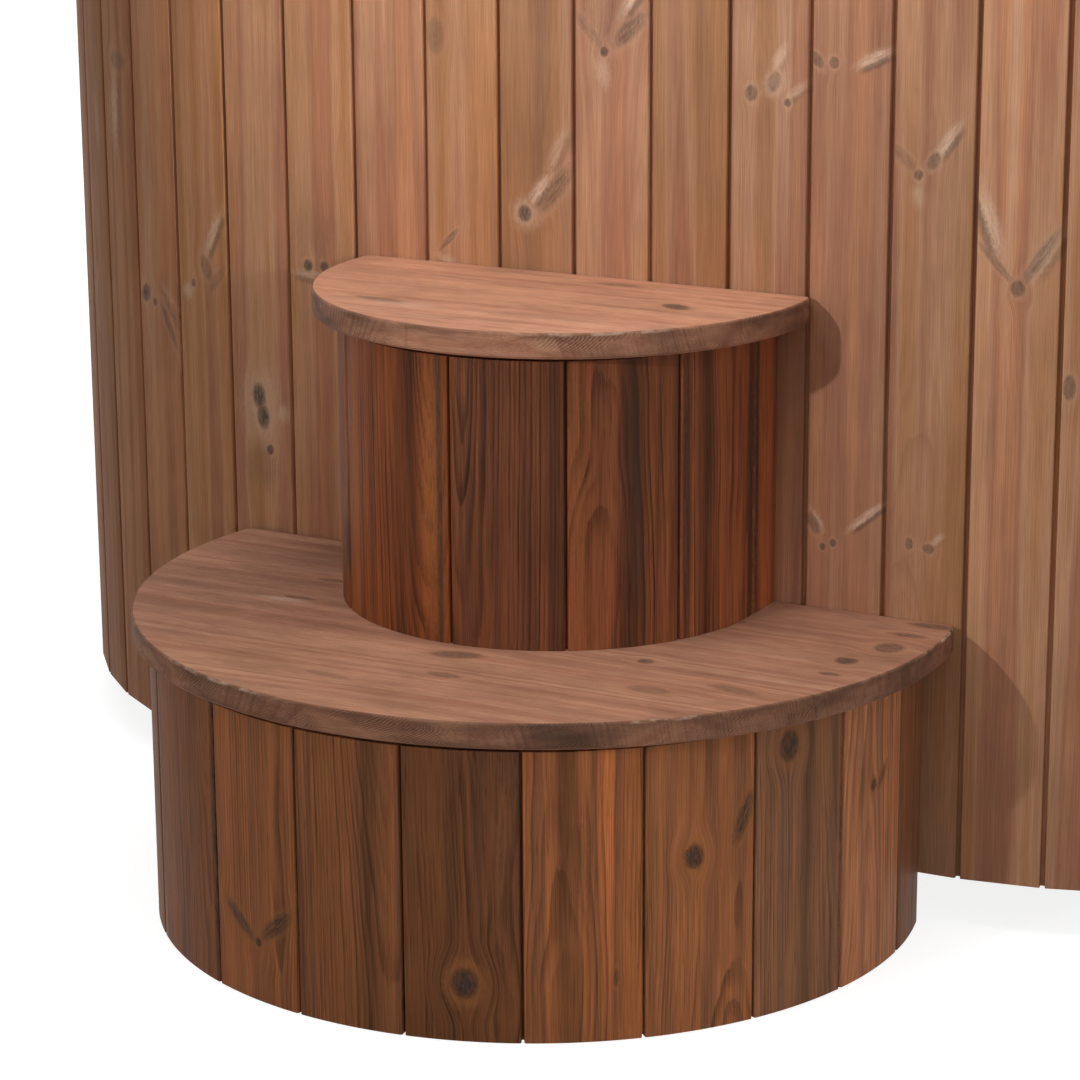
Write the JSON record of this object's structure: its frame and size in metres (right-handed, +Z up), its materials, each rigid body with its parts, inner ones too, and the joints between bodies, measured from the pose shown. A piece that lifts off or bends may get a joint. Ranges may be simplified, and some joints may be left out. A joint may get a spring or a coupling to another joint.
{
  "type": "cold plunge tub",
  "caption": "Timber-clad plunge tub with straight sides and round ends, welded liner with end benches, rear drain valve and a loose half-round step unit at the front.",
  "frame": {"origin": "on the floor under the tub's centre", "axes": "+Z up, +X along the tub's length to the right of someone facing the steps, -Y towards the steps, +Y towards the drain valve"},
  "size_m": [1.8868, 1.8321, 1.05],
  "materials": {
    "wall_timber": "warm brown thermo-treated pine boards, planed, oiled matt",
    "riser_timber": "darker red-brown thermo-treated pine with strong streaks, oiled satin",
    "tread_timber": "pinkish brown edge-glued thermo-treated pine, sanded matt",
    "plywood": "plain plywood, unfinished",
    "frame_timber": "sawn softwood, unfinished",
    "liner_shell": "pale grey-white plastic sheet, welded, with a soft gloss",
    "foam": "pale yellow rigid foam",
    "drain_plastic": "pale satin moulded plastic",
    "valve_brass": "nickel-plated brass, satin",
    "valve_steel": "plain steel, brushed",
    "grip_plastic": "black dipped plastic, matt"
  },
  "bodies": {
    "tub": {"base_deck": "plywood", "drain_fitting": "drain_plastic", "drain_nut": "drain_plastic", "drain_strainer": "drain_plastic", "hoop_bottom": "plywood", "hoop_middle": "plywood", "hoop_top": "plywood", "insulation": "foam", "liner_bench_left": "liner_shell", "liner_bench_right": "liner_shell", "liner_floor": "liner_shell", "liner_seat_left": "liner_shell", "liner_seat_right": "liner_shell", "liner_wall_left": "liner_shell", "liner_wall_right": "liner_shell", "rim_left": "liner_shell", "rim_right": "liner_shell", "skid_back": "frame_timber", "skid_centre": "frame_timber", "skid_front": "frame_timber", "valve_body": "valve_brass", "valve_outlet": "valve_brass", "wall_panel_01": "wall_timber", "wall_panel_02": "wall_timber", "wall_panel_03": "wall_timber", "wall_panel_04": "wall_timber", "wall_panel_05": "wall_timber", "wall_panel_06": "wall_timber"},
    "valve_handle": {"valve_ball": "valve_steel", "valve_stem": "valve_steel", "valve_lever": "valve_steel", "valve_grip": "grip_plastic", "valve_lever_nut": "valve_steel"},
    "steps": {"lower_former_foot": "plywood", "lower_former_head": "plywood", "lower_riser_01": "riser_timber", "lower_riser_02": "riser_timber", "lower_riser_03": "riser_timber", "lower_riser_04": "riser_timber", "lower_riser_05": "riser_timber", "lower_riser_06": "riser_timber", "lower_riser_07": "riser_timber", "lower_riser_08": "riser_timber", "lower_riser_09": "riser_timber", "lower_riser_10": "riser_timber", "lower_riser_11": "riser_timber", "lower_riser_12": "riser_timber", "lower_riser_13": "riser_timber", "lower_tread": "tread_timber", "upper_former_foot": "plywood", "upper_former_head": "plywood", "upper_riser_01": "riser_timber", "upper_riser_02": "riser_timber", "upper_riser_03": "riser_timber", "upper_riser_04": "riser_timber", "upper_riser_05": "riser_timber", "upper_riser_06": "riser_timber", "upper_riser_07": "riser_timber", "upper_tread": "tread_timber"}
  },
  "joints": [
    {"name": "valve_turn", "type": "hinge", "parent": "tub", "child": "valve_handle", "pos_m": [0, 0.65064, 0.1786], "axis": [0, 0, 1], "range_deg": [0, 90]},
    {"name": "steps_slide", "type": "slide", "parent": "tub", "child": "steps", "axis": [0, -1, 0], "range_m": [0, 0.4]}
  ]
}
